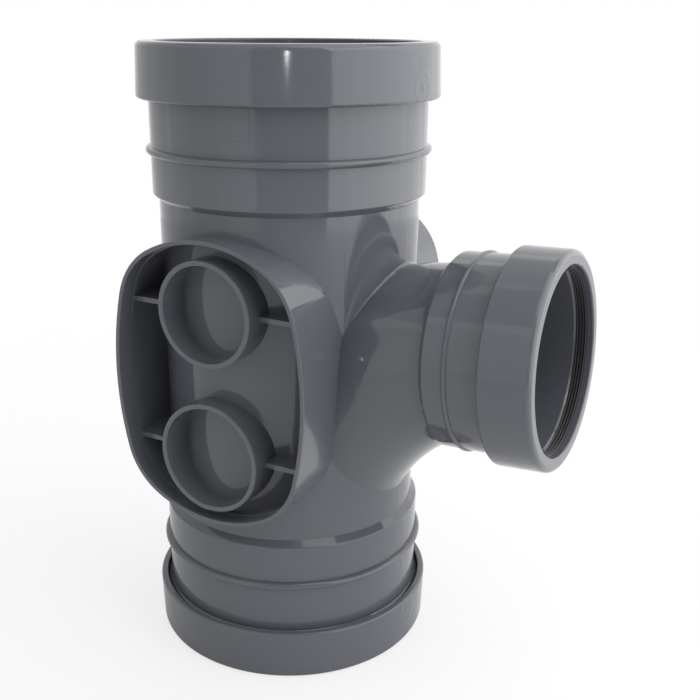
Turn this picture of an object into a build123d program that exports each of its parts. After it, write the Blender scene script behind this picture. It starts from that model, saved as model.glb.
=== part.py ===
"""Reducing tee for soil and drain pipe: a 160 mm stack with a swept 110 mm branch.

One grey moulding carries a ring-seal socket at each end of the stack and one on the
branch, and a boss plate on the front and on the back. Each socket holds a rubber seal
ring behind a retaining cap. Millimetres, +Z up the stack, branch towards +X, boss
plates on -Y and +Y, origin on the stack's axis at the lower mouth.
"""

import os
from dataclasses import dataclass
from math import cos, hypot, radians, sin, sqrt, tan

from build123d import *

# Pipe sizes that the sockets take
stack_pipe_r = 80.0
branch_pipe_r = 55.0
socket_fit = 0.4            # radial room between a pipe and its socket
seal_fit = 0.15             # how far a ridge of the relaxed seal stays off the pipe

# Stack
total_height = 386.0
body_wall = 4.2             # barrel and neck
stack_r = 81.4              # outside of the barrel between the sockets

# Stack sockets; depths run inward from the mouth
stack_socket_wall = 4.8
stack_cap_r = 92.5          # outside of the cap at its skirt
stack_cap_draft = 1.2       # how much slimmer the cap is at the mouth
stack_cap_depth = 32.5
stack_cap_round = 3.6
stack_cap_wall = 4.5
stack_seal_width = 7.0
stack_seal_height = 4.2
stack_bead_depth = 63.2
stack_bead_height = 3.0
stack_bead_half = 2.4
stack_shoulder = 89.2       # where the socket starts to narrow
stack_taper = 3.7           # length of that narrowing
stack_stop = 86.0           # pipe stop

# Branch, measured along its own axis from the stack's axis
branch_rise_deg = 2.5       # the branch climbs away from the stack
branch_height = 205.3       # where the branch's axis crosses the stack's axis
branch_reach = 184.8        # to the branch's mouth plane

# Branch socket, as above
branch_socket_wall = 3.5
branch_cap_r = 64.7
branch_cap_draft = 0.5
branch_cap_depth = 30.3
branch_cap_round = 3.2
branch_cap_wall = 3.6
branch_seal_width = 6.8
branch_seal_height = 3.4
branch_bead_depth = 51.0
branch_bead_height = 1.2
branch_bead_half = 1.5
branch_shoulder = 64.2
branch_taper = 1.6
branch_step = 1.5           # how far it narrows, on the radius
branch_stop = 62.0

# Neck from the branch's socket down into the stack, seen from the front
neck_slimmer = 3.35         # neck against the pipe, on the radius
neck_drop = 0.6             # how far its axis starts below the branch's
crown_r = 147.0             # curve of its top
throat_r = 43.0             # curve of its underside
throat_under = 0.8          # how far that curve dips under the barrel's skin
sweep_turns = (5, 14, 30, 45, 60, 74, 88)   # degrees from upright at which it is drawn

# Boss plates
boss_plane = 95.6           # rims and boss mouths stand this far from the stack's axis
boss_depth = 10.5           # from the rim back to the fronts of the ribs
plate_height = 193.2        # centre of the plate's outline
plate_half_w = 67.3
plate_half_h = 87.5
plate_side_r = 202.0
plate_top_r = 83.0
plate_corner_r = 44.0
plate_wall = 2.7
plate_step = 0.6            # extra wall behind the rib fronts
rib_thick = 3.0
upper_boss_height = 237.4
upper_boss_r = 28.8         # bore
lower_boss_height = 148.3
lower_boss_r = 31.2         # bore
boss_wall = 3.2
boss_draft_deg = 0.5        # the blind bosses narrow inwards, as solvent sockets do
rim_round = 0.8

# Edges of the moulding
crease_round = 1.6          # where the neck's top meets the barrel
throat_round = 8.0          # where its underside does

# Caps and seals
cap_lip_clear = 0.2         # the cap's hole is this much wider than the pipe bore
cap_lip = 4.3               # thickness of the cap's face
lip_round = 1.0
skirt_round = 1.6
housing_under = 1.6         # how far the socket's housing ends inside the skirt
housing_chamfer = 2.2
bore_lead = 0.9             # lead-in behind the seal, on the radius
bore_lead_run = 1.4
seal_ridges = 4
ridge_height = 1.1

# Running room between pieces
cap_clear = 0.15            # cap over its housing, on the radius
seal_clear = 0.15           # seal in its groove, on the radius
root_depth = 12.0           # how far plate, ribs and bosses run on into the stack
overlap = 1.0               # how far other joined shapes run into one another


@dataclass
class Socket:
    """Sizes of one ring-seal socket; depths run inward from its mouth plane."""

    mouth: Plane            # z_dir points into the fitting, x_dir is any radius
    pipe_r: float
    wall: float
    cap_r: float
    cap_draft: float
    cap_depth: float
    cap_round: float
    cap_wall: float
    seal_width: float
    seal_height: float
    bead_depth: float
    bead_height: float
    bead_half: float
    shoulder: float
    taper: float
    step: float             # how far it narrows beyond the shoulder, on the radius
    stop: float

    @property
    def bore_r(self):
        return self.pipe_r + socket_fit

    @property
    def outer_r(self):
        return self.bore_r + self.wall

    @property
    def groove_r(self):
        return self.bore_r + self.seal_height

    @property
    def cap_bore_r(self):
        return self.cap_r - self.cap_wall

    @property
    def housing_r(self):
        return self.cap_bore_r - cap_clear

    @property
    def housing_end(self):
        return self.cap_depth - housing_under

    @property
    def neck_r(self):
        return self.outer_r - self.step

    @property
    def passage_r(self):
        return self.neck_r - body_wall

    @property
    def seal_seat(self):
        return cap_lip + self.seal_width

    @property
    def section(self):
        """Plane through the axis: X is the radius, Y the depth from the mouth."""
        return Plane(self.mouth.origin, x_dir=self.mouth.x_dir, z_dir=-self.mouth.y_dir)

    @property
    def axis(self):
        return Axis(self.mouth.origin, self.mouth.z_dir)

    @property
    def end(self):
        return self.shoulder + self.taper


def stack_socket(mouth):
    return Socket(
        mouth=mouth, pipe_r=stack_pipe_r, wall=stack_socket_wall,
        cap_r=stack_cap_r, cap_draft=stack_cap_draft, cap_depth=stack_cap_depth,
        cap_round=stack_cap_round, cap_wall=stack_cap_wall,
        seal_width=stack_seal_width, seal_height=stack_seal_height,
        bead_depth=stack_bead_depth, bead_height=stack_bead_height, bead_half=stack_bead_half,
        shoulder=stack_shoulder, taper=stack_taper,
        step=stack_pipe_r + socket_fit + stack_socket_wall - stack_r,
        stop=stack_stop,
    )


branch_dir = Vector(cos(radians(branch_rise_deg)), 0, sin(radians(branch_rise_deg)))
branch_mouth = Vector(0, 0, branch_height) + branch_dir * branch_reach

lower = stack_socket(Plane((0, 0, 0), x_dir=(1, 0, 0), z_dir=(0, 0, 1)))
upper = stack_socket(Plane((0, 0, total_height), x_dir=(1, 0, 0), z_dir=(0, 0, -1)))
branch = Socket(
    mouth=Plane(branch_mouth, x_dir=(0, 1, 0), z_dir=-branch_dir),
    pipe_r=branch_pipe_r, wall=branch_socket_wall,
    cap_r=branch_cap_r, cap_draft=branch_cap_draft, cap_depth=branch_cap_depth,
    cap_round=branch_cap_round, cap_wall=branch_cap_wall,
    seal_width=branch_seal_width, seal_height=branch_seal_height,
    bead_depth=branch_bead_depth, bead_height=branch_bead_height, bead_half=branch_bead_half,
    shoulder=branch_shoulder, taper=branch_taper, step=branch_step,
    stop=branch_stop,
)

# Curves of the neck: both are upright where the branch's socket ends
neck_start = branch_mouth - branch_dir * branch.end - Vector(0, 0, neck_drop)
neck_r = branch_pipe_r - neck_slimmer
crown_centre = neck_start + Vector(0, 0, neck_r - crown_r)
throat_centre = Vector(stack_r - throat_under + throat_r, 0, neck_start.Z - neck_r - throat_r)


def add_socket(socket):
    """Outside of a socket as a solid of revolution, with its bead and its narrowing."""
    foot = socket.housing_end
    # the narrowing runs on under the skin of what follows it
    slope = socket.taper / (socket.outer_r - socket.neck_r)
    end = socket.end + slope * overlap
    points = [
        (0, cap_lip), (socket.housing_r, cap_lip),
        (socket.housing_r, foot - housing_chamfer), (socket.outer_r, foot),
        (socket.outer_r, socket.shoulder), (socket.neck_r - overlap, end), (0, end),
    ]
    rounds = [0, 0.6, 0.8, 0.4, 1.2, 0, 0]
    with BuildSketch(socket.section) as profile:
        with BuildLine():
            FilletPolyline(*points, radius=rounds, close=True)
        make_face()
        # bead around the middle of the socket
        with Locations((socket.outer_r, socket.bead_depth)):
            Ellipse(socket.bead_height, socket.bead_half)
    revolve(profile.sketch, axis=socket.axis)


def cut_socket(socket, run):
    """Seal groove, pipe bore, pipe stop and a run of passage beyond the stop."""
    points = [
        (0, -overlap), (socket.groove_r, -overlap), (socket.groove_r, socket.seal_seat),
        (socket.bore_r + bore_lead, socket.seal_seat),
        (socket.bore_r, socket.seal_seat + bore_lead_run),
        (socket.bore_r, socket.stop), (socket.passage_r, socket.stop),
        (socket.passage_r, socket.stop + run), (0, socket.stop + run),
    ]
    with BuildSketch(socket.section) as profile:
        with BuildLine():
            Polyline(*points, close=True)
        make_face()
    revolve(profile.sketch, axis=socket.axis, mode=Mode.SUBTRACT)


def neck_section(turn_deg):
    """Plane across the neck and its radius there, between the crown's and throat's curves."""
    out = Vector(-sin(radians(turn_deg)), 0, cos(radians(turn_deg)))
    crown = crown_centre + out * crown_r
    throat = throat_centre + out * throat_r
    across = crown - throat
    plane = Plane((crown + throat) / 2, x_dir=(0, 1, 0), z_dir=across.cross(Vector(0, 1, 0)))
    return plane, across.length / 2


def add_neck(inset, mode):
    """Neck lofted through circles, from inside the branch's socket down into the stack."""
    circles = [(branch.mouth.offset(branch.end - 4 * overlap), branch.neck_r)]
    circles += [neck_section(turn) for turn in sweep_turns]
    sections = []
    for plane, radius in circles:
        with BuildSketch(plane) as section:
            Circle(radius - inset)
        sections.append(section.sketch)
    loft(sections, mode=mode)


def plate_outline(inset):
    """Outline of a boss plate: bowed sides and ends joined by round corners."""
    half_w = plate_half_w - inset
    half_h = plate_half_h - inset
    side_r = plate_side_r - inset
    top_r = plate_top_r - inset
    # where a side arc would meet an end arc, before the corner is rounded
    side_c = side_r - half_w
    top_c = top_r - half_h
    span = hypot(side_c, top_c)
    along = (side_r**2 - top_r**2 + span**2) / (2 * span)
    across = sqrt(side_r**2 - along**2)
    x = -side_c + (along * side_c + across * top_c) / span
    y = (across * side_c - along * top_c) / span
    with BuildSketch(mode=Mode.PRIVATE) as outline:
        with BuildLine():
            ThreePointArc((x, y), (0, half_h), (-x, y))
            ThreePointArc((-x, y), (-half_w, 0), (-x, -y))
            ThreePointArc((-x, -y), (0, -half_h), (x, -y))
            ThreePointArc((x, -y), (half_w, 0), (x, y))
        make_face()
        fillet(outline.vertices(), plate_corner_r - inset)
    return outline.sketch


bosses = ((upper_boss_height, upper_boss_r), (lower_boss_height, lower_boss_r))
wall_end = boss_plane - sqrt(stack_r**2 - plate_half_w**2) + root_depth
rim_plane = Plane((0, -boss_plane, 0), x_dir=(1, 0, 0), z_dir=(0, 1, 0))
rib_plane = rim_plane.offset(boss_depth)


def on_rim(height):
    """Place on the rim plane, whose own Y runs down the stack."""
    return Location((0, -height))


# Boss plate: skirt wall, a rib across it behind each boss, and the boss tubes
with BuildPart() as boss_plate:
    with BuildSketch(rim_plane):
        with Locations(on_rim(plate_height)):
            add(plate_outline(0))
            add(plate_outline(plate_wall), mode=Mode.SUBTRACT)
    extrude(amount=wall_end)
    fillet(boss_plate.edges().group_by(Axis.Y)[0], rim_round)
    with BuildSketch(rib_plane):
        with Locations(on_rim(plate_height)):
            add(plate_outline(plate_wall / 2))
            add(plate_outline(plate_wall + plate_step), mode=Mode.SUBTRACT)
    extrude(amount=wall_end - boss_depth)
    for height, bore in bosses:
        with BuildSketch(rib_plane):
            with Locations(on_rim(height)):
                Rectangle(2 * plate_half_w, rib_thick)
            with Locations(on_rim(plate_height)):
                add(plate_outline(plate_wall), mode=Mode.INTERSECT)
            with Locations(on_rim(height)):
                Circle(bore + boss_wall / 2, mode=Mode.SUBTRACT)
        extrude(amount=wall_end - boss_depth)
    for height, bore in bosses:
        mouth = Plane((0, -boss_plane, height), x_dir=(1, 0, 0), z_dir=(0, 0, 1))
        foot = bore - wall_end * tan(radians(boss_draft_deg))
        outside = bore + boss_wall
        points = [(bore, 0), (outside, 0), (outside, wall_end), (foot, wall_end)]
        with BuildSketch(mouth) as tube:
            with BuildLine():
                FilletPolyline(*points, radius=[rim_round, rim_round, 0, 0], close=True)
            make_face()
        revolve(tube.sketch, axis=Axis(mouth.origin, (0, 1, 0)))


def barrel_creases(edges, upward):
    """The curved edges where the neck's top or its underside meets the barrel."""
    curved = edges.filter_by(GeomType.BSPLINE)
    met = [edge for edge in curved if abs(edge.bounding_box().max.X - stack_r) < overlap / 2]
    return [edge for edge in met if (edge.center().Z > branch_height) == upward]


# Body: boss plates, barrel, sockets and neck joined, then hollowed
with BuildPart() as body:
    add(boss_plate.part)
    mirror(about=Plane.XZ)
    with BuildSketch(Plane.XY.offset(lower.end - overlap)):
        Circle(stack_r)
    extrude(amount=total_height - 2 * (lower.end - overlap))
    add_neck(0, Mode.ADD)
    fillet(barrel_creases(body.edges(), upward=True), crease_round)
    fillet(barrel_creases(body.edges(), upward=False), throat_round)
    for socket in (lower, upper, branch):
        add_socket(socket)
    cut_socket(lower, total_height - 2 * lower.stop)
    cut_socket(upper, overlap)
    cut_socket(branch, branch.end - branch.stop)
    add_neck(body_wall, Mode.SUBTRACT)


def cap(socket):
    """Retaining cap: a lip over the seal and a skirt around the socket's housing."""
    lip_r = socket.bore_r + cap_lip_clear
    points = [
        (lip_r, 0), (socket.cap_r - socket.cap_draft, 0), (socket.cap_r, socket.cap_depth),
        (socket.cap_bore_r, socket.cap_depth), (socket.cap_bore_r, cap_lip),
        (lip_r, cap_lip),
    ]
    rounds = [lip_round, socket.cap_round, skirt_round, skirt_round / 2, 0, 0]
    with BuildPart() as moulding:
        with BuildSketch(socket.section) as profile:
            with BuildLine():
                FilletPolyline(*points, radius=rounds, close=True)
            make_face()
        revolve(profile.sketch, axis=socket.axis)
    return moulding.part


def seal(socket):
    """Seal ring: a band in the groove with fine ridges towards the pipe."""
    outer = socket.groove_r - seal_clear
    tip = socket.pipe_r + seal_fit
    pitch = socket.seal_width / seal_ridges
    points = [(outer, cap_lip), (outer, socket.seal_seat)]
    for ridge in range(seal_ridges, 0, -1):
        depth = cap_lip + ridge * pitch
        points += [(tip + ridge_height, depth), (tip, depth - pitch / 2)]
    points.append((tip + ridge_height, cap_lip))
    with BuildPart() as ring:
        with BuildSketch(socket.section) as profile:
            with BuildLine():
                Polyline(*points, close=True)
            make_face()
        revolve(profile.sketch, axis=socket.axis)
    return ring.part


with BuildPart() as upper_retaining_cap:
    add(cap(upper))

with BuildPart() as lower_retaining_cap:
    add(cap(lower))

with BuildPart() as branch_retaining_cap:
    add(cap(branch))

with BuildPart() as upper_seal_ring:
    add(seal(upper))

with BuildPart() as lower_seal_ring:
    add(seal(lower))

with BuildPart() as branch_seal_ring:
    add(seal(branch))


os.makedirs("parts", exist_ok=True)

body.part.label = "body"
export_step(body.part, "parts/body.step")

upper_retaining_cap.part.label = "upper_retaining_cap"
export_step(upper_retaining_cap.part, "parts/upper_retaining_cap.step")

lower_retaining_cap.part.label = "lower_retaining_cap"
export_step(lower_retaining_cap.part, "parts/lower_retaining_cap.step")

branch_retaining_cap.part.label = "branch_retaining_cap"
export_step(branch_retaining_cap.part, "parts/branch_retaining_cap.step")

upper_seal_ring.part.label = "upper_seal_ring"
export_step(upper_seal_ring.part, "parts/upper_seal_ring.step")

lower_seal_ring.part.label = "lower_seal_ring"
export_step(lower_seal_ring.part, "parts/lower_seal_ring.step")

branch_seal_ring.part.label = "branch_seal_ring"
export_step(branch_seal_ring.part, "parts/branch_seal_ring.step")
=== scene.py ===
"""Looks for a grey plastic reducing tee: a ring-seal stack with a swept branch."""

import math

import bpy
from mathutils import Matrix, Vector


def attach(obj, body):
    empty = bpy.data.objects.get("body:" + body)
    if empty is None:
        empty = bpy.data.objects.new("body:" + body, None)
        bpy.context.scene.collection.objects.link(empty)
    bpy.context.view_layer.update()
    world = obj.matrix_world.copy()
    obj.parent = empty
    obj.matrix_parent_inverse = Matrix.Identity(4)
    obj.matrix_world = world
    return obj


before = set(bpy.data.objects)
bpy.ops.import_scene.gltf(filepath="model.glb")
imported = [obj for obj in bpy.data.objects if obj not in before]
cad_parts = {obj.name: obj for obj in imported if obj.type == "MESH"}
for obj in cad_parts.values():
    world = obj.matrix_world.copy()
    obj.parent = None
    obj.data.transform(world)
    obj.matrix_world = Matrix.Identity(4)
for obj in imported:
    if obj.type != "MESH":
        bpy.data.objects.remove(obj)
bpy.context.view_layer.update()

MM = 0.001
UP = Vector((0, 0, 1))
WHITE = (1.0, 1.0, 1.0)

# Colours, linear
PVC_GREY = (0.0975, 0.102, 0.118)
PVC_GREY_DARK = (0.0915, 0.096, 0.111)
RUBBER_BLACK = (0.017, 0.0175, 0.019)
RUBBER_BLOOM = (0.03, 0.031, 0.033)
SPECK_BLACK = (0.012, 0.012, 0.013)

# Moulded plastic; scales are cells per millimetre, depths and radii are millimetres
PLASTIC_IOR = 1.5
BODY_ROUGHNESS = 0.06
BODY_GRAIN = 0.002          # depth of the fine spark texture
CAP_ROUGHNESS = 0.08
CAP_GRAIN = 0.006
CLOUD_SCALE = 0.035         # slow drift of the colour
CLOUD_SHARE = 0.6
FLOW_SCALE = (0.25, 0.25, 0.02)     # upright flow streaks
DARK_SPECKS = (0.045, 0.35, 0.55)   # scale, radius, share of the cells that have one
WAVE_SCALE = 0.03           # sink and ripple of thick walls
WAVE_DEPTH = 0.12
GRAIN_SCALE = 2.2
GLOSS_SCALE = 0.12
GLOSS_DRIFT = 0.05          # how much the roughness drifts
CAP_PIMPLES = (0.65, 0.3, 0.35)     # scale, radius, share of the cells that have one
PIMPLE_HEIGHT = 0.07

# Rubber of the seal rings
SEAL_ROUGHNESS = 0.42
SEAL_DRIFT = 0.15
BLOOM_SCALE = 0.2
SEAL_GRAIN_SCALE = 3.0
SEAL_GRAIN = 0.02

# Marks on the moulding, millimetres in the part's own frame
LABEL_PANEL = (0.0, 340.0, 31.0, 13.0, 4.0)     # centre x and z, half width and height, corner
LABEL_FRAME = (-0.3, 344.5, 25.8, 9.5, 1.0)
LABEL_FRONT = 60.0          # the label is only on the wall in front of this
PANEL_RAISED = 0.15
PANEL_DULLER = 0.05
FRAME_SUNK = 0.12
FRAME_DULLER = 0.02
WITNESS_TURNS = (9.6, 54.0)     # degrees round from -Y towards +X
WITNESS_OUT = 40.0          # the lines are only on walls further out than this
WITNESS_RAISED = 0.03
GATE_MARKS = ((91.9, -4.8, 362.0), (-91.9, 4.8, 362.0), (91.9, -4.8, 24.0))
GATE_RING_RADIUS = 8.2
GATE_RING_RAISED = 0.12
GATE_RING_DULLER = 0.04
GATE_PIP_RAISED = 0.4

# Neck, fuller at the throat than the solid: curves of its top and underside, millimetres
CROWN_CENTRE = (118.9, 114.5)   # x and z
CROWN_RADIUS = 146.8
NECK_TURN = 88.0            # degrees
THROAT_CORNER = (121.0, 108.3)  # x and z
THROAT_RUN = 40.4
THROAT_RISE = 44.0
THROAT_BEND = 1.55          # 1 would be a round throat, 2 a straight slope
BRANCH_RISE = 2.5           # degrees
NECK_ROWS = 96
NECK_SIDES = 192
NECK_TUCK = 3.0             # how far it runs into the branch's socket

# Where none of the neck is made: inside the barrel and inside the boss plates' skirts
BARREL_SKIN = 78.2          # radius, in the barrel's wall
PLATE_HEIGHT = 193.2        # middle of a plate
PLATE_HALF_WIDTH = 67.3
PLATE_SIDE_RADIUS = 202.0
PLATE_CORNER = (19.3, 41.0, 44.0)   # centre x, height from the plate's middle, radius
SKIRT_INSET = 2.4           # from the plate's outline into its skirt's wall
PLATE_OUT = 40.0            # both plates are further out along Y than this

# Camera, fitted to the photograph
CAMERA_OUT = 620.38         # from the stack's axis, level
CAMERA_UP = 397.56
CAMERA_AROUND = 0.559       # radians round from -Y towards +X
CAMERA_YAW = -0.046
CAMERA_PITCH = 0.316
CAMERA_ROLL = 0.005
LENS = 50.63
SENSOR_WIDTH = 36.0
SHIFT = (0.0221, -0.0113)
CLIP_NEAR = 0.01            # metres
CLIP_FAR = 50.0

# Ring of upright softboxes, from +30 degrees right of the camera round to -26; metres
RING_FROM = 30.0
RING_TO = 334.0
RING_BOXES = 20
RING_OUT = 1.5
RING_HEIGHT = 1.7
RING_LIGHT = ((30, 5.4), (60, 6.8), (90, 7.0), (120, 4.4), (150, 2.3), (180, 2.0),
              (226, 0.9), (256, 1.5), (286, 1.2), (316, 1.9), (334, 1.9))   # turn, watts per m2

# High softboxes and the small lamp beside the camera aim at the fitting's middle; metres, watts
LAMP_AIM = UP * 0.19
HIGH_BOXES = (("high_right_softbox", 60, 9.8), ("high_back_softbox", 180, 3.3),
              ("high_left_softbox", -60, 1.9), ("high_front_softbox", 0, 0.5))
HIGH_RISE = 62              # degrees
HIGH_OUT = 1.6
HIGH_SIZE = 1.4
CAMERA_LAMP_TURN = -1
CAMERA_LAMP_RISE = 17
CAMERA_LAMP_OUT = 0.75
CAMERA_LAMP_SIZE = 0.01
CAMERA_LAMP_POWER = 0.08
ROOM_LIGHT = 0.44

# Floor
FLOOR_WHITE = (0.82, 0.82, 0.82)
FLOOR_MIDDLE = (40.0, 0.0, 0.0)     # millimetres, under the fitting
FLOOR_FADE = (250.0, 900.0)         # millimetres over which it becomes plain white
FLOOR_HALF = 6.0                    # metres
SHADOW_WHITE = 0.72                 # how much of it is plain white near the fitting


class Value:
    """A shader socket that takes Python arithmetic."""

    def __init__(self, finish, socket):
        self.finish = finish
        self.socket = socket

    def _math(self, operation, *values):
        return self.finish.node("ShaderNodeMath", dict(operation=operation),
                                dict(enumerate(values)))

    def __add__(self, other):
        return self._math("ADD", self, other)

    def __sub__(self, other):
        return self._math("SUBTRACT", self, other)

    def __rsub__(self, other):
        return self._math("SUBTRACT", other, self)

    def __mul__(self, other):
        return self._math("MULTIPLY", self, other)

    def __pow__(self, other):
        return self._math("POWER", self, other)

    def __abs__(self):
        return self._math("ABSOLUTE", self)

    __radd__ = __add__
    __rmul__ = __mul__

    def at_least(self, floor):
        return self._math("MAXIMUM", self, floor)

    def rise(self, start, stop):
        """0 up to start, 1 from stop, a soft step between."""
        return self.finish.node(
            "ShaderNodeMapRange", dict(interpolation_type="SMOOTHSTEP"),
            {"Value": self, "From Min": start, "From Max": stop})

    def fade(self, start, stop):
        """1 up to start, 0 from stop, a soft step between."""
        return self.finish.node(
            "ShaderNodeMapRange", dict(interpolation_type="SMOOTHSTEP"),
            {"Value": self, "From Min": start, "From Max": stop, "To Min": 1.0, "To Max": 0.0})


class Finish:
    """The shader of a material or of the world, under construction."""

    def __init__(self, owner, output="ShaderNodeOutputMaterial"):
        owner.use_nodes = True
        self.owner = owner
        self.tree = owner.node_tree
        self.tree.nodes.clear()
        self.output = self.tree.nodes.new(output)

    def node(self, kind, settings=None, inputs=None, out=0):
        node = self.tree.nodes.new(kind)
        for key, value in (settings or {}).items():
            setattr(node, key, value)
        for key, value in (inputs or {}).items():
            socket = node.inputs[key]
            if isinstance(value, Value):
                self.tree.links.new(value.socket, socket)
            elif socket.type == "RGBA":
                socket.default_value = (*value, 1)
            else:
                socket.default_value = value
        return Value(self, node.outputs[out])

    def place(self):
        """Position on the fitting in millimetres, in the part's own frame."""
        spot = self.node("ShaderNodeTexCoord", out="Object")
        return self.node("ShaderNodeVectorMath", dict(operation="SCALE"),
                         {0: spot, "Scale": 1 / MM})

    def stretch(self, spot, scale):
        return self.node("ShaderNodeVectorMath", dict(operation="MULTIPLY"), {0: spot, 1: scale})

    def noise(self, spot, scale, detail=2.0, rough=0.5):
        return self.node("ShaderNodeTexNoise", None,
                         {"Vector": spot, "Scale": scale, "Detail": detail, "Roughness": rough})

    def blend(self, amount, low, high):
        return self.node("ShaderNodeMix", dict(data_type="RGBA"),
                         {"Factor": amount, 6: low, 7: high}, out=2)

    def parts(self, spot):
        return [self.node("ShaderNodeSeparateXYZ", None, {0: spot}, out=n) for n in range(3)]

    def distance(self, spot, mark):
        return self.node("ShaderNodeVectorMath", dict(operation="DISTANCE"), {0: spot, 1: mark},
                         out="Value")

    def rounded_box(self, across, up, box):
        """Signed distance to a rounded rectangle, negative inside."""
        mid_x, mid_z, half_x, half_z, corner = box
        far_x = (abs(across - mid_x) - (half_x - corner)).at_least(0)
        far_z = (abs(up - mid_z) - (half_z - corner)).at_least(0)
        return (far_x * far_x + far_z * far_z) ** 0.5 - corner

    def specks(self, spot, scale, radius, share):
        """Sparse round dots with a soft edge, in a share of the cells."""
        cells = {"Vector": spot, "Scale": scale}
        far = self.node("ShaderNodeTexVoronoi", None, cells, out="Distance")
        luck = self.node("ShaderNodeTexVoronoi", None, cells, out="Color")
        picked = self.parts(luck)[0].rise(1 - share, 1 - share + 0.01)
        return far.fade(0.7 * radius * scale, 1.3 * radius * scale) * picked

    def bump(self, height, depth, under=None):
        """depth is the height's full swing in millimetres."""
        inputs = {"Height": height, "Strength": 1.0, "Distance": depth * MM}
        if under is not None:
            inputs["Normal"] = under
        return self.node("ShaderNodeBump", None, inputs)

    def show(self, shader):
        self.tree.links.new(shader.socket, self.output.inputs["Surface"])
        return self.owner

    def surface(self, **inputs):
        """Plain glossy surface; a socket's name has underscores here for its spaces."""
        return self.show(self.node("ShaderNodeBsdfPrincipled", None,
                                   {key.replace("_", " "): value for key, value in inputs.items()}))


def new_finish(name):
    return Finish(bpy.data.materials.new(name))


def put_in_scene(name, data):
    made = bpy.data.objects.new(name, data)
    bpy.context.collection.objects.link(made)
    return made


def label(finish, spot):
    """The bare label panel on the front of the upper socket, and its ruled frame."""
    across, front, up = finish.parts(spot)
    facing = front.fade(-LABEL_FRONT - 2, -LABEL_FRONT)
    panel = finish.rounded_box(across, up, LABEL_PANEL).fade(-0.8, 0.8) * facing
    rule = abs(finish.rounded_box(across, up, LABEL_FRAME)).fade(0.1, 0.55) * facing
    return panel, rule


def witness_lines(finish, spot):
    """Fine upright lines left by the mould's joints."""
    across, front, _ = finish.parts(spot)
    lines = 0
    for turn in WITNESS_TURNS:
        cosine = math.cos(math.radians(turn))
        sine = math.sin(math.radians(turn))
        aside = abs(across * cosine + front * sine)
        facing = (across * sine - front * cosine).rise(WITNESS_OUT, WITNESS_OUT + 2)
        lines = aside.fade(0.1, 0.5) * facing + lines
    return lines


def body_details(finish, spot):
    """Height, depth and duller gloss of each mark on the body."""
    panel, rule = label(finish, spot)
    yield panel, PANEL_RAISED, PANEL_DULLER
    yield rule, -FRAME_SUNK, FRAME_DULLER
    yield witness_lines(finish, spot), WITNESS_RAISED, 0.0


def cap_details(finish, spot):
    """Height, depth and duller gloss of each mark on a retaining cap."""
    for mark in GATE_MARKS:
        far = finish.distance(spot, mark)
        yield abs(far - GATE_RING_RADIUS).fade(0.6, 2.2), GATE_RING_RAISED, GATE_RING_DULLER
        yield far.fade(0.8, 2.4), GATE_PIP_RAISED, 0.0
    yield finish.specks(spot, *CAP_PIMPLES), PIMPLE_HEIGHT, 0.0


def moulded_grey(name, roughness, grain, details):
    """Glossy moulded PVC-U."""
    finish = new_finish(name)
    spot = finish.place()
    cloud = finish.noise(spot, CLOUD_SCALE, 3.0)
    flow = finish.noise(finish.stretch(spot, FLOW_SCALE), 1.0)
    tone = CLOUD_SHARE * cloud + (1 - CLOUD_SHARE) * flow
    grey = finish.blend(tone, PVC_GREY_DARK, PVC_GREY)
    colour = finish.blend(finish.specks(spot, *DARK_SPECKS), grey, SPECK_BLACK)
    wave = finish.bump(finish.noise(spot, WAVE_SCALE, 1.0), WAVE_DEPTH)
    relief = finish.bump(finish.noise(spot, GRAIN_SCALE, 3.0, 0.6), grain, wave)
    gloss = roughness + GLOSS_DRIFT * finish.noise(spot, GLOSS_SCALE, 4.0)
    for height, depth, duller in details(finish, spot):
        relief = finish.bump(height, depth, relief)
        if duller:
            gloss = gloss + height * duller
    return finish.surface(Base_Color=colour, Roughness=gloss, Normal=relief, IOR=PLASTIC_IOR)


def seal_rubber():
    finish = new_finish("seal_rubber")
    spot = finish.place()
    bloom = finish.noise(spot, BLOOM_SCALE, 4.0)
    colour = finish.blend(bloom, RUBBER_BLACK, RUBBER_BLOOM)
    relief = finish.bump(finish.noise(spot, SEAL_GRAIN_SCALE), SEAL_GRAIN)
    return finish.surface(Base_Color=colour, Roughness=SEAL_ROUGHNESS + SEAL_DRIFT * bloom,
                          Normal=relief, IOR=PLASTIC_IOR)


def paint_fitting(body, cap, seal):
    for name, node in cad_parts.items():
        if "seal" in name:
            finish = seal
        elif "cap" in name:
            finish = cap
        else:
            finish = body
        node.data.materials.clear()
        node.data.materials.append(finish)


def neck_rings():
    """Middle and upward half width of the neck's round sections, from the socket down."""
    rings = []
    for step in range(NECK_ROWS + 1):
        turn = math.radians(NECK_TURN) * step / NECK_ROWS
        crown = Vector((CROWN_CENTRE[0] - CROWN_RADIUS * math.sin(turn), 0,
                        CROWN_CENTRE[1] + CROWN_RADIUS * math.cos(turn)))
        swing = math.pi / 2 * step / NECK_ROWS
        run = math.sin(swing) ** THROAT_BEND
        rise = max(math.cos(swing), 0) ** THROAT_BEND
        throat = Vector((THROAT_CORNER[0] - THROAT_RUN * run, 0,
                         THROAT_CORNER[1] + THROAT_RISE * rise))
        rings.append(((crown + throat) / 2, (crown - throat) / 2))
    slope = math.radians(BRANCH_RISE)
    ahead = Vector((math.cos(slope), 0, math.sin(slope)))
    middle, upward = rings[0]
    return [(middle + ahead * NECK_TUCK, upward), *rings]


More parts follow.
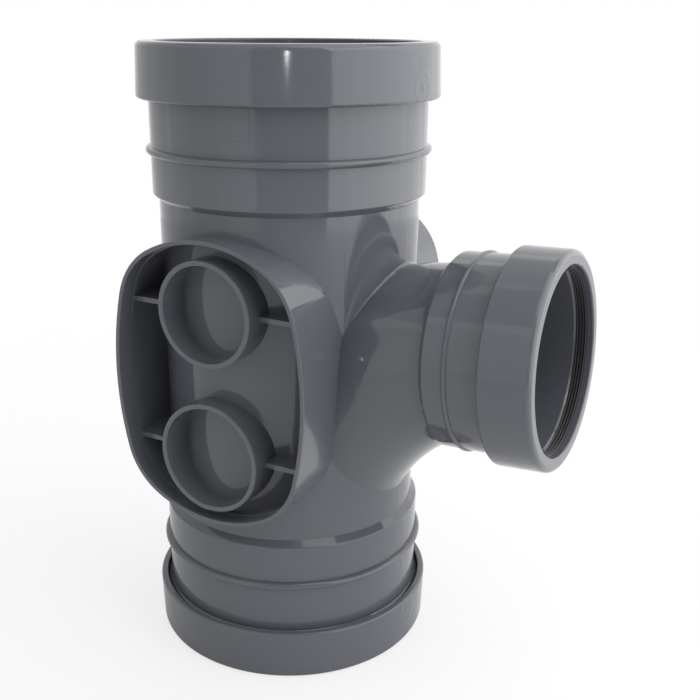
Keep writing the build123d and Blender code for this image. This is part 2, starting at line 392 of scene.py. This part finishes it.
def in_pocket(point):
    """Whether a point of the neck would show inside the skirt of a boss plate."""
    corner_x, corner_z, corner_radius = PLATE_CORNER
    high = abs(point.z - PLATE_HEIGHT)
    if high < corner_z:
        bulge = math.sqrt(PLATE_SIDE_RADIUS ** 2 - high ** 2)
        wide = PLATE_HALF_WIDTH - PLATE_SIDE_RADIUS + bulge
    else:
        wide = corner_x + math.sqrt(max(corner_radius ** 2 - (high - corner_z) ** 2, 0))
    return abs(point.y) > PLATE_OUT and point.x < wide - SKIRT_INSET


def branch_neck(material):
    """The neck's outer skin: round all the way, full at the throat where it leaves the barrel."""
    rings = neck_rings()
    points = []
    shown = []
    for middle, upward in rings:
        side = Vector((0, upward.length, 0))
        for step in range(NECK_SIDES):
            angle = 2 * math.pi * step / NECK_SIDES
            point = middle + upward * math.cos(angle) + side * math.sin(angle)
            points.append(point * MM)
            shown.append(point.xy.length > BARREL_SKIN and not in_pocket(point))
    faces = []
    for row in range(len(rings) - 1):
        for step in range(NECK_SIDES):
            near = row * NECK_SIDES + step
            beside = row * NECK_SIDES + (step + 1) % NECK_SIDES
            face = (near, beside, beside + NECK_SIDES, near + NECK_SIDES)
            if all(shown[corner] for corner in face):
                faces.append(face)
    mesh = bpy.data.meshes.new("branch_neck")
    mesh.from_pydata([tuple(point) for point in points], [], faces)
    mesh.shade_smooth()
    mesh.materials.append(material)
    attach(put_in_scene("branch_neck", mesh), "root")


def make_camera():
    around = CAMERA_AROUND + CAMERA_YAW
    forward = Vector((-math.sin(around) * math.cos(CAMERA_PITCH),
                      math.cos(around) * math.cos(CAMERA_PITCH), -math.sin(CAMERA_PITCH)))
    level_right = Vector((math.cos(around), math.sin(around), 0))
    level_up = level_right.cross(forward)
    cosine = math.cos(CAMERA_ROLL)
    sine = math.sin(CAMERA_ROLL)
    right = cosine * level_right + sine * level_up
    up = cosine * level_up - sine * level_right
    spot = Vector((CAMERA_OUT * math.sin(CAMERA_AROUND), -CAMERA_OUT * math.cos(CAMERA_AROUND),
                   CAMERA_UP)) * MM
    camera = put_in_scene("camera", bpy.data.cameras.new("camera"))
    turn = Matrix((right, up, -forward)).transposed().to_4x4()
    camera.matrix_world = Matrix.Translation(spot) @ turn
    camera.data.lens = LENS
    camera.data.sensor_width = SENSOR_WIDTH
    camera.data.shift_x, camera.data.shift_y = SHIFT
    camera.data.clip_start = CLIP_NEAR
    camera.data.clip_end = CLIP_FAR
    bpy.context.scene.camera = camera


def make_floor():
    """White floor: it keeps the fitting's shadow and runs out into plain white."""
    finish = new_finish("white_floor")
    paper = finish.node("ShaderNodeBsdfDiffuse", None, {"Color": FLOOR_WHITE})
    glow = finish.node("ShaderNodeEmission", None, {"Color": WHITE, "Strength": 1.0})
    seen = finish.node("ShaderNodeLightPath", out="Is Camera Ray")
    far = finish.distance(finish.place(), FLOOR_MIDDLE).rise(*FLOOR_FADE)
    share = seen * (far * (1 - SHADOW_WHITE) + SHADOW_WHITE)
    finish.show(finish.node("ShaderNodeMixShader", None, {0: share, 1: paper, 2: glow}))
    corners = [(-FLOOR_HALF, -FLOOR_HALF, 0), (FLOOR_HALF, -FLOOR_HALF, 0),
               (FLOOR_HALF, FLOOR_HALF, 0), (-FLOOR_HALF, FLOOR_HALF, 0)]
    mesh = bpy.data.meshes.new("floor")
    mesh.from_pydata(corners, [], [(0, 1, 2, 3)])
    mesh.materials.append(finish.owner)
    put_in_scene("floor", mesh)


def outward(turn, rise=0):
    """Direction from the fitting to a lamp, in degrees right of the camera and up."""
    around = CAMERA_AROUND + math.radians(turn)
    level = Vector((math.sin(around), -math.cos(around), 0))
    return level * math.cos(math.radians(rise)) + UP * math.sin(math.radians(rise))


def lamp(name, place, back, width, height, power):
    """Area lamp that faces away from its back."""
    data = bpy.data.lights.new(name, "AREA")
    data.shape = "RECTANGLE"
    data.size = width
    data.size_y = height
    data.energy = power
    light = put_in_scene(name, data)
    light.location = place
    light.rotation_mode = "QUATERNION"
    light.rotation_quaternion = back.to_track_quat("Z", "Y")


def ring_light(turn):
    """Brightness of the softbox ring at a turn, straight between the written ones."""
    for (near, low), (far, high) in zip(RING_LIGHT, RING_LIGHT[1:]):
        if turn <= far:
            return low + (high - low) * (turn - near) / (far - near)
    return RING_LIGHT[-1][1]


def make_lamps():
    step = (RING_TO - RING_FROM) / RING_BOXES
    width = 2 * RING_OUT * math.tan(math.radians(step / 2))
    for number in range(RING_BOXES):
        turn = RING_FROM + step * (number + 0.5)
        back = outward(turn)
        lamp(f"ring_softbox_{number + 1}", back * RING_OUT + UP * RING_HEIGHT / 2, back,
             width, RING_HEIGHT, ring_light(turn) * width * RING_HEIGHT)
    for name, turn, power in HIGH_BOXES:
        back = outward(turn, HIGH_RISE)
        lamp(name, LAMP_AIM + back * HIGH_OUT, back, HIGH_SIZE, HIGH_SIZE, power)
    back = outward(CAMERA_LAMP_TURN, CAMERA_LAMP_RISE)
    lamp("camera_lamp", LAMP_AIM + back * CAMERA_LAMP_OUT, back,
         CAMERA_LAMP_SIZE, CAMERA_LAMP_SIZE, CAMERA_LAMP_POWER)


def make_room():
    """A pale room that lights softly and looks plain white."""
    world = bpy.data.worlds.new("studio")
    bpy.context.scene.world = world
    room = Finish(world, "ShaderNodeOutputWorld")
    light = room.node("ShaderNodeBackground", None, {"Color": WHITE, "Strength": ROOM_LIGHT})
    backdrop = room.node("ShaderNodeBackground", None, {"Color": WHITE, "Strength": 1.0})
    seen = room.node("ShaderNodeLightPath", out="Is Camera Ray")
    room.show(room.node("ShaderNodeMixShader", None, {0: seen, 1: light, 2: backdrop}))


grey_body = moulded_grey("moulded_grey_body", BODY_ROUGHNESS, BODY_GRAIN, body_details)
grey_cap = moulded_grey("moulded_grey_cap", CAP_ROUGHNESS, CAP_GRAIN, cap_details)
paint_fitting(grey_body, grey_cap, seal_rubber())
branch_neck(grey_body)
make_camera()
make_floor()
make_lamps()
make_room()
bpy.context.scene.view_settings.view_transform = "Standard"
